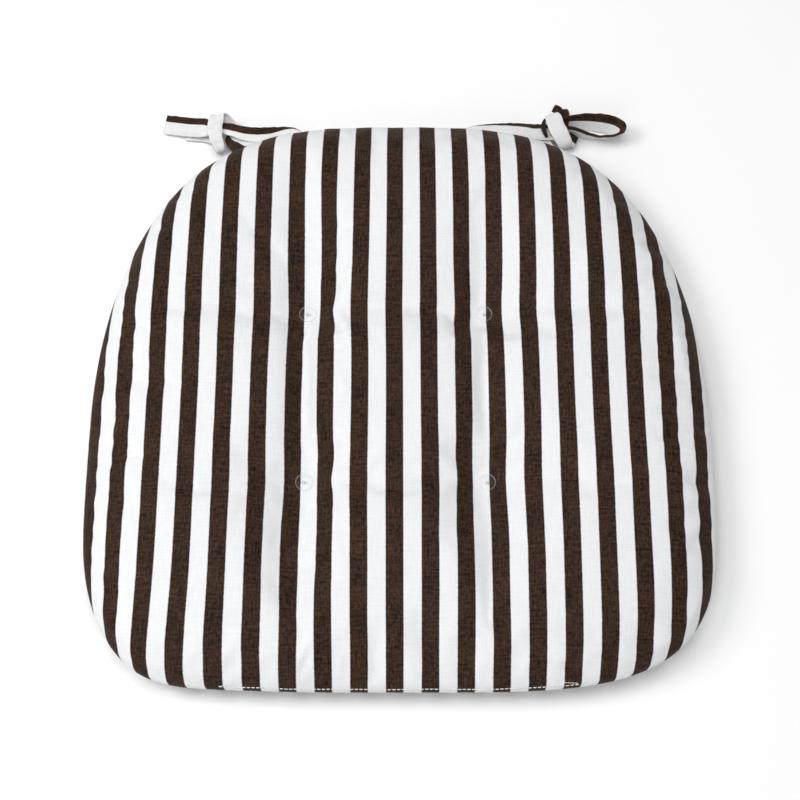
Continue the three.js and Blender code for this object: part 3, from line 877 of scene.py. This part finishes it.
cover_upper = panel("cover_upper_cloth", upper_points, plan_faces, top_cotton, upper_uv, "cover_top")
panel("cover_under_cloth", lower_points, [f[::-1] for f in plan_faces], under_cotton, lower_uv,
      "cover_bottom")


# ---- Filling: a foam core between two sheets of wadding, all following the cover ----
def filling(name, node, material, top, bottom, edge):
    """A closed layer between two heights over the plan, that ends the edge's distance inside the seam."""
    inside = plan_inset >= edge - 1e-9
    count = int(inside.sum())
    index = np.full(len(plan), -1)
    index[inside] = np.arange(count)
    points = np.concatenate([np.stack([plan_x, plan_y, z], 1)[inside] for z in (top, bottom)])
    faces = [[int(index[v]) for v in f] for f in plan_faces if all(inside[v] for v in f)]
    edges = [pair for f in faces for pair in zip(f, f[1:] + f[:1])]
    known = set(edges)
    rim = [(a, b) for a, b in edges if (b, a) not in known]
    faces += [[v + count for v in reversed(f)] for f in faces]
    faces += [[b, a, a + count, b + count] for a, b in rim]
    piece = mesh_piece(name, points, faces, [material])
    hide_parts(node)
    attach(piece, "pad")


WADDING_EDGE = 11 * MM
FOAM_EDGE = 14 * MM
top_z, bottom_z = upper_points[:, 2], lower_points[:, 2]
filling("wadding_upper_fleece", "wadding_top", fleece,
        top_z - 2 * MM, top_z - 5 * MM, WADDING_EDGE)
filling("wadding_under_fleece", "wadding_bottom", fleece,
        bottom_z + 4.5 * MM, bottom_z + 1.8 * MM, WADDING_EDGE)
filling("foam_core_crumb", "foam_core", foam,
        top_z - 5.6 * MM, bottom_z + 5.1 * MM, FOAM_EDGE)


# ---- Tufts: a clear disc above and below, drawn together by a knotted thread ----
def turned(name, profile, at, materials, slots, sides=48):
    """A ring-shaped body: its profile [radius, height] closed on itself and turned round a tuft."""
    count = len(profile)
    turns = [2 * math.pi * k / sides for k in range(sides)]
    points = [(at[0] + r * math.cos(turn), at[1] + r * math.sin(turn), z)
              for turn in turns for r, z in profile]
    faces, face_slots = [], []
    for k in range(sides):
        for i in range(count):
            a, b = k * count + i, k * count + (i + 1) % count
            c, d = (k + 1) % sides * count + (i + 1) % count, (k + 1) % sides * count + i
            faces.append([a, d, c, b])
            face_slots.append(slots[i])
    return mesh_piece(name, points, faces, materials, face_slots=face_slots)


DISC_EYE = 0.9 * MM
DISC_WEB = 1.1 * MM  # thickness inside the rim
DISC_HEIGHT = 1.7 * MM


def disc(name, node, at, seat_z, away):
    """A clear disc with a raised rim. away is 1 for one that lies on top, -1 for one below the pad."""
    rim, eye, web, height = DISC_RADIUS, DISC_EYE, DISC_WEB, DISC_HEIGHT
    profile = [(eye, 0), (rim - 0.3 * MM, 0), (rim, 0.3 * MM), (rim, height - 0.3 * MM),
               (rim - 0.2 * MM, height), (rim - 0.5 * MM, height), (rim - 0.8 * MM, web),
               (eye + 0.2 * MM, web), (eye, web - 0.2 * MM)]
    slots = [0, 1, 1, 1, 1, 1, 0, 0, 0]  # the web's material or the rim's, for each stretch of the profile
    placed = [(r, seat_z + away * z) for r, z in profile]
    if away < 0:
        placed, slots = placed[::-1], slots[::-1][1:] + slots[::-1][:1]
    piece = turned(name, placed, at, [disc_web, disc_rim_glint], slots)
    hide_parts(node)
    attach(piece, "pad")


def tube(points, radius, sides=8):
    """Points and faces of a round thread through the given points, with closed ends."""
    line = np.array(points)
    along = unit(np.gradient(line, axis=0))
    reference = np.array([0.31, 0.77, 0.55])
    side = unit(np.cross(along, reference))
    lift = np.cross(along, side)
    ring = [(math.cos(2 * math.pi * k / sides), math.sin(2 * math.pi * k / sides)) for k in range(sides)]
    skin = [p + radius * (c * s + w * l) for p, s, l in zip(line, side, lift) for c, w in ring]
    return skin, ring_faces(len(line), sides) + end_faces(len(line), sides)


def thread_piece(name, node, parts):
    """All the given lengths of thread as one piece."""
    points, faces = [], []
    for skin, skin_faces in parts:
        base = len(points)
        points += list(skin)
        faces += [[base + v for v in f] for f in skin_faces]
    piece = mesh_piece(name, points, faces, [sewing_thread])
    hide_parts(node)
    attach(piece, "pad")


STRAND_TWIST = 9  # radians from one disc to the other
STRAND_OFFSET = 0.3 * MM
STRAND_RADIUS = 0.28 * MM
KNOT_RADIUS = 0.24 * MM


def tuft_thread(name, node, at):
    """Two strands through the pad, with a small overhand knot flat on each disc."""
    parts = []
    low, high = DISC_UNDER_Z - DISC_WEB, DISC_TOP_Z + DISC_WEB
    for phase in (0, math.pi):
        strand = []
        for z in np.linspace(low, high, 24):
            turn = phase + STRAND_TWIST * (z - low) / (high - low)
            aside, behind = STRAND_OFFSET * math.cos(turn), STRAND_OFFSET * math.sin(turn)
            strand.append((at[0] + aside, at[1] + behind, z))
        parts.append(tube(strand, STRAND_RADIUS))
    for level, away in ((high, 1), (low, -1)):
        turns = np.linspace(0, 5 * math.pi, 56)
        parts.append(tube([(at[0] + (0.55 + 0.45 * math.sin(t * 0.4)) * MM * math.cos(t) * 1.3,
                            at[1] + (0.45 + 0.25 * math.sin(t * 0.4)) * MM * math.sin(t),
                            level + away * (0.30 + 0.06 * t / math.pi) * MM) for t in turns], KNOT_RADIUS))
    thread_piece(name, node, parts)


for tuft, at in TUFTS.items():
    disc("tuft_clear_disc_upper_" + tuft, "tuft_disc_top_" + tuft, at, DISC_TOP_Z, 1)
    disc("tuft_clear_disc_under_" + tuft, "tuft_disc_under_" + tuft, at, DISC_UNDER_Z, -1)
    tuft_thread("tuft_strands_" + tuft, "tuft_thread_" + tuft, at)


# ---- Closing stitch: the front edge's turning gap, sewn shut from outside ----
STITCH_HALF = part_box("closing_stitch")[1][0]
STITCH_Z = 23 * MM
TOPSTITCH_GAP = 0.45 * MM
TOPSTITCH_RADIUS = 0.36 * MM
TOPSTITCH_WANDER = 0.18 * MM
BACK_STITCHES = 4  # sewn back over the line's end, at both ends
BACK_STITCH_LENGTH = 2.4 * MM
BACK_STITCH_RADIUS = 0.30 * MM
RAYS_FROM_Y = -0.3  # in front of the pad, where the rays that find the front edge start


def surface_tree(piece):
    shaped = piece.evaluated_get(bpy.context.evaluated_depsgraph_get())
    return BVHTree.FromPolygons([v.co.copy() for v in shaped.data.vertices],
                                [list(p.vertices) for p in shaped.data.polygons])


def closing_stitches():
    """A line of stitches along the front edge, with a few sewn back at each end."""
    upper = surface_tree(cover_upper)

    def on_cover(across, z):
        hit, normal, _, _ = upper.ray_cast(Vector((across, RAYS_FROM_Y, z)), Vector((0, 1, 0)))
        outward = -1 if normal[1] > 0 else 1
        return np.array(hit), outward * np.array(normal)

    parts = []
    pitch = STITCH_LENGTH + TOPSTITCH_GAP
    for n in range(int(2 * STITCH_HALF / pitch)):
        start_x = -STITCH_HALF + n * pitch
        wander = TOPSTITCH_WANDER * math.sin(n * 0.31)
        start, normal = on_cover(start_x, STITCH_Z + wander)
        end, _ = on_cover(start_x + STITCH_LENGTH, STITCH_Z + wander)
        parts.append(capsule(start, end, normal, TOPSTITCH_RADIUS))
    for side in (-1, 1):
        for n in range(BACK_STITCHES):
            start_x = side * (STITCH_HALF - 2 * MM - n * BACK_STITCH_LENGTH)
            start, normal = on_cover(start_x, STITCH_Z + 0.5 * MM + 0.4 * MM * n)
            end, _ = on_cover(start_x - side * BACK_STITCH_LENGTH, STITCH_Z + 1.3 * MM + 0.35 * MM * n)
            parts.append(capsule(start, end, normal, BACK_STITCH_RADIUS))
    thread_piece("closing_topstitch", "closing_stitch", parts)


closing_stitches()

# ---- The seam thread keeps its CAD body, with the sewing thread's material ----
seam_thread = bpy.data.objects["seam_thread"]
for slot in seam_thread.material_slots:
    slot.material = sewing_thread

# ---- Floor and studio light ----
FLOOR_HALF = 8.0
floor_corners = [(i * FLOOR_HALF, j * FLOOR_HALF, 0) for i, j in ((-1, -1), (1, -1), (1, 1), (-1, 1))]
floor = mesh_piece("floor", floor_corners, [[0, 1, 2, 3]], [])
floor_material, floor_tree, floor_shader = new_material("pale_floor")
floor_place = floor_tree.nodes.new("ShaderNodeTexCoord").outputs["Object"]
floor_tone = noise(floor_tree, floor_place, 6, 3)
floor_colour = mix_colour(floor_tree, floor_tone, (0.93, 0.93, 0.93), (0.95, 0.95, 0.95))
floor_tree.links.new(floor_colour, floor_shader.inputs["Base Color"])
floor_shader.inputs["Roughness"].default_value = 0.9
floor.data.materials.append(floor_material)


def area_light(name, location, size, power, colour=(1, 1, 1)):
    """A round soft light that shines at the origin."""
    data = bpy.data.lights.new(name, "AREA")
    data.shape = "DISK"
    data.size = size
    data.energy = power
    data.color = colour
    light = bpy.data.objects.new(name, data)
    light.location = location
    light.rotation_euler = (-Vector(location)).to_track_quat("-Z", "Y").to_euler()
    bpy.context.scene.collection.objects.link(light)


area_light("key", (-1.3, 0.1, 1.5), 0.9, 15.5, (1.0, 0.99, 0.97))
area_light("overhead", (-0.05, 0.15, 2.4), 2.0, 31)
area_light("fill", (-0.3, -1.9, 1.1), 1.4, 9)
world = bpy.data.worlds.new("studio")
world.use_nodes = True
background = world.node_tree.nodes["Background"]
background.inputs["Color"].default_value = (0.97, 0.98, 1.0, 1)
background.inputs["Strength"].default_value = 0.30
bpy.context.scene.world = world
bpy.context.scene.view_settings.view_transform = "Standard"
